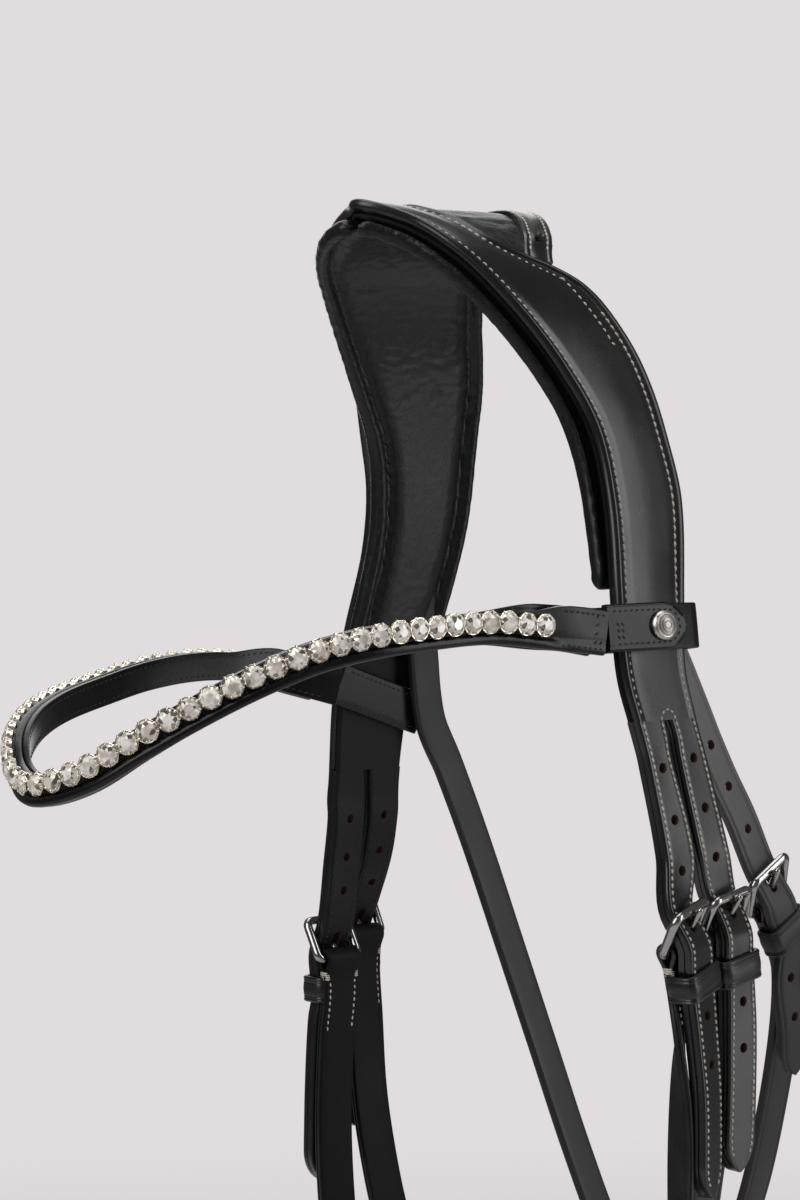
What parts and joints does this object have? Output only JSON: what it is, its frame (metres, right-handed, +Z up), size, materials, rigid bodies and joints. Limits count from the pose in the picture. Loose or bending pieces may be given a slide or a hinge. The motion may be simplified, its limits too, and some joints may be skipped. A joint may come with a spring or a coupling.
{
  "type": "snaffle bridle",
  "caption": "Black leather snaffle bridle with a padded anatomic crown, a crystal browband with snap flaps, throatlash, noseband and loose ring bit.",
  "frame": {"origin": "underside of the crown pads on the poll, where the bridle rests on the horse's head", "axes": "+X forward to the browband, +Y to the horse's left (the near side), +Z up"},
  "size_m": [0.2903, 0.1988, 0.5435],
  "materials": {
    "outer_leather": "glossy dressed black leather",
    "lining_leather": "soft black lining leather",
    "pad_leather": "soft black nappa over foam",
    "billet_leather": "black strap leather with cream stitching",
    "strap_leather": "black strap leather, flesh side rough",
    "throat_leather": "satin black strap leather",
    "browband_leather": "glossy black leather",
    "buckle_steel": "polished steel",
    "cap_steel": "brushed steel",
    "bit_steel": "polished stainless steel",
    "setting_metal": "plated setting",
    "crystal": "cut crystal"
  },
  "bodies": {
    "headpiece": {"crown_leather": "outer_leather", "crown_lining": "lining_leather", "near_pad": "pad_leather", "far_pad": "pad_leather", "crown_insert": "pad_leather", "poll_strap": "outer_leather", "poll_rivet": "cap_steel", "near_throat_tab": "throat_leather", "far_throat_tab": "throat_leather"},
    "browband": {"browband_leather": "browband_leather", "browband_lining": "lining_leather", "browband_settings": "setting_metal", "browband_stones": "crystal", "near_loop_strap": "browband_leather", "far_loop_strap": "browband_leather", "snap_studs": "cap_steel"},
    "near_flap": {"near_flap": "browband_leather", "near_snap_cap": "cap_steel"},
    "far_flap": {"far_flap": "browband_leather", "far_snap_cap": "cap_steel"},
    "cheeks": {"near_cheek_billet": "billet_leather", "far_cheek_billet": "billet_leather", "near_cheekpiece": "strap_leather", "far_cheekpiece": "strap_leather", "near_cheek_keeper": "strap_leather", "far_cheek_keeper": "strap_leather", "near_bit_keeper": "strap_leather", "far_bit_keeper": "strap_leather", "hook_studs": "cap_steel"},
    "noseband": {"near_nose_billet": "billet_leather", "far_nose_billet": "billet_leather", "near_nose_hanger": "strap_leather", "far_nose_hanger": "strap_leather", "near_nose_keeper": "strap_leather", "far_nose_keeper": "strap_leather", "noseband": "outer_leather", "nose_pad": "pad_leather", "chin_tab": "strap_leather", "chin_strap": "strap_leather", "chin_keeper": "strap_leather"},
    "throatlash": {"throat_billet": "throat_leather", "throatlash": "throat_leather", "near_throat_keeper": "throat_leather"},
    "near_cheek_frame": {"near_cheek_buckle": "buckle_steel"},
    "near_cheek_prong": {"near_cheek_tongue": "buckle_steel"},
    "near_nose_frame": {"near_nose_buckle": "buckle_steel"},
    "near_nose_prong": {"near_nose_tongue": "buckle_steel"},
    "near_throat_frame": {"near_throat_buckle": "buckle_steel"},
    "near_throat_prong": {"near_throat_tongue": "buckle_steel"},
    "far_cheek_frame": {"far_cheek_buckle": "buckle_steel"},
    "far_cheek_prong": {"far_cheek_tongue": "buckle_steel"},
    "far_nose_frame": {"far_nose_buckle": "buckle_steel"},
    "far_nose_prong": {"far_nose_tongue": "buckle_steel"},
    "chin_frame": {"chin_buckle": "buckle_steel"},
    "chin_prong": {"chin_tongue": "buckle_steel"},
    "near_ring": {"near_bit_ring": "bit_steel"},
    "near_arm": {"near_mouthpiece_arm": "bit_steel"},
    "far_ring": {"far_bit_ring": "bit_steel"},
    "far_arm": {"far_mouthpiece_arm": "bit_steel"},
    "link": {"centre_link": "bit_steel"}
  },
  "joints": [
    {"name": "browband_swing", "type": "hinge", "parent": "headpiece", "child": "browband", "pos_m": [-0.0185, 0.0656, -0.126], "axis": [0.0952, 0.9755, 0.1982], "range_deg": [-3, 3]},
    {"name": "near_flap_open", "type": "hinge", "parent": "browband", "child": "near_flap", "pos_m": [0.0045, 0.07235, -0.12515], "axis": [0, 0.1253, -0.9921], "range_deg": [0, 75]},
    {"name": "far_flap_open", "type": "hinge", "parent": "browband", "child": "far_flap", "pos_m": [-0.00932, -0.0892, -0.14752], "axis": [-0.309, 0.1815, 0.9336], "range_deg": [0, 75]},
    {"name": "cheeks_swing", "type": "hinge", "parent": "headpiece", "child": "cheeks", "pos_m": [-0.025, 0, -0.2], "axis": [0, -1, 0], "range_deg": [-1, 15]},
    {"name": "noseband_swing", "type": "hinge", "parent": "headpiece", "child": "noseband", "pos_m": [-0.0412, 0, -0.2], "axis": [0, -1, 0], "range_deg": [-1, 15]},
    {"name": "throatlash_swing", "type": "hinge", "parent": "headpiece", "child": "throatlash", "pos_m": [-0.052, 0, -0.165], "axis": [0, 1, 0], "range_deg": [0, 15]},
    {"name": "near_cheek_buckle_lift", "type": "hinge", "parent": "cheeks", "child": "near_cheek_frame", "pos_m": [-0.026, 0.0734, -0.23], "axis": [-0.9525, -0.1851, 0.2419], "range_deg": [0, 5]},
    {"name": "near_cheek_tongue_lift", "type": "hinge", "parent": "near_cheek_frame", "child": "near_cheek_prong", "pos_m": [-0.026, 0.0734, -0.23], "axis": [-0.9525, -0.1851, 0.2419], "range_deg": [0, 8]},
    {"name": "near_nose_buckle_lift", "type": "hinge", "parent": "noseband", "child": "near_nose_frame", "pos_m": [-0.0486, 0.0708, -0.228], "axis": [-0.9853, -0.0689, 0.1564], "range_deg": [0, 5]},
    {"name": "near_nose_tongue_lift", "type": "hinge", "parent": "near_nose_frame", "child": "near_nose_prong", "pos_m": [-0.0486, 0.0708, -0.228], "axis": [-0.9853, -0.0689, 0.1564], "range_deg": [0, 8]},
    {"name": "near_throat_buckle_lift", "type": "hinge", "parent": "throatlash", "child": "near_throat_frame", "pos_m": [-0.0755, 0.068, -0.22], "axis": [-0.8746, 0, 0.4848], "range_deg": [0, 5]},
    {"name": "near_throat_tongue_lift", "type": "hinge", "parent": "near_throat_frame", "child": "near_throat_prong", "pos_m": [-0.0755, 0.068, -0.22], "axis": [-0.8746, 0, 0.4848], "range_deg": [0, 8]},
    {"name": "far_cheek_buckle_lift", "type": "hinge", "parent": "cheeks", "child": "far_cheek_frame", "pos_m": [-0.0225, -0.091, -0.2515], "axis": [0.9998, 0, -0.0175], "range_deg": [0, 5]},
    {"name": "far_cheek_tongue_lift", "type": "hinge", "parent": "far_cheek_frame", "child": "far_cheek_prong", "pos_m": [-0.0225, -0.091, -0.2515], "axis": [0.9998, 0, -0.0175], "range_deg": [0, 8]},
    {"name": "far_nose_buckle_lift", "type": "hinge", "parent": "noseband", "child": "far_nose_frame", "pos_m": [-0.0434, -0.1014, -0.246], "axis": [0.9994, 0, 0.0349], "range_deg": [0, 5]},
    {"name": "far_nose_tongue_lift", "type": "hinge", "parent": "far_nose_frame", "child": "far_nose_prong", "pos_m": [-0.0434, -0.1014, -0.246], "axis": [0.9994, 0, 0.0349], "range_deg": [0, 8]},
    {"name": "chin_buckle_lift", "type": "hinge", "parent": "noseband", "child": "chin_frame", "pos_m": [-0.064, 0.0415, -0.386], "axis": [0, 0, -1], "range_deg": [0, 5]},
    {"name": "chin_tongue_lift", "type": "hinge", "parent": "chin_frame", "child": "chin_prong", "pos_m": [-0.064, 0.0415, -0.386], "axis": [0, 0, -1], "range_deg": [0, 8]},
    {"name": "near_ring_spin", "type": "hinge", "parent": "cheeks", "child": "near_ring", "pos_m": [-0.026, 0.0595, -0.486], "axis": [0, 1, 0], "continuous": true},
    {"name": "near_arm_tilt", "type": "hinge", "parent": "cheeks", "child": "near_arm", "pos_m": [-0.026, 0.0595, -0.518], "axis": [-1, 0, 0], "range_deg": [0, 10]},
    {"name": "far_ring_spin", "type": "hinge", "parent": "cheeks", "child": "far_ring", "pos_m": [-0.026, -0.0765, -0.486], "axis": [0, 1, 0], "continuous": true},
    {"name": "far_arm_tilt", "type": "hinge", "parent": "cheeks", "child": "far_arm", "pos_m": [-0.026, -0.0765, -0.518], "axis": [1, 0, 0], "range_deg": [0, 10]},
    {"name": "link_tilt", "type": "hinge", "parent": "near_arm", "child": "link", "pos_m": [-0.026, 0.00431, -0.52283], "axis": [1, 0, 0], "range_deg": [0, 10]}
  ],
  "couplings": [
    {"joint": "noseband_swing", "follows": "cheeks_swing", "ratio": 1},
    {"joint": "far_arm_tilt", "follows": "near_arm_tilt", "ratio": 1},
    {"joint": "link_tilt", "follows": "near_arm_tilt", "ratio": 1}
  ]
}
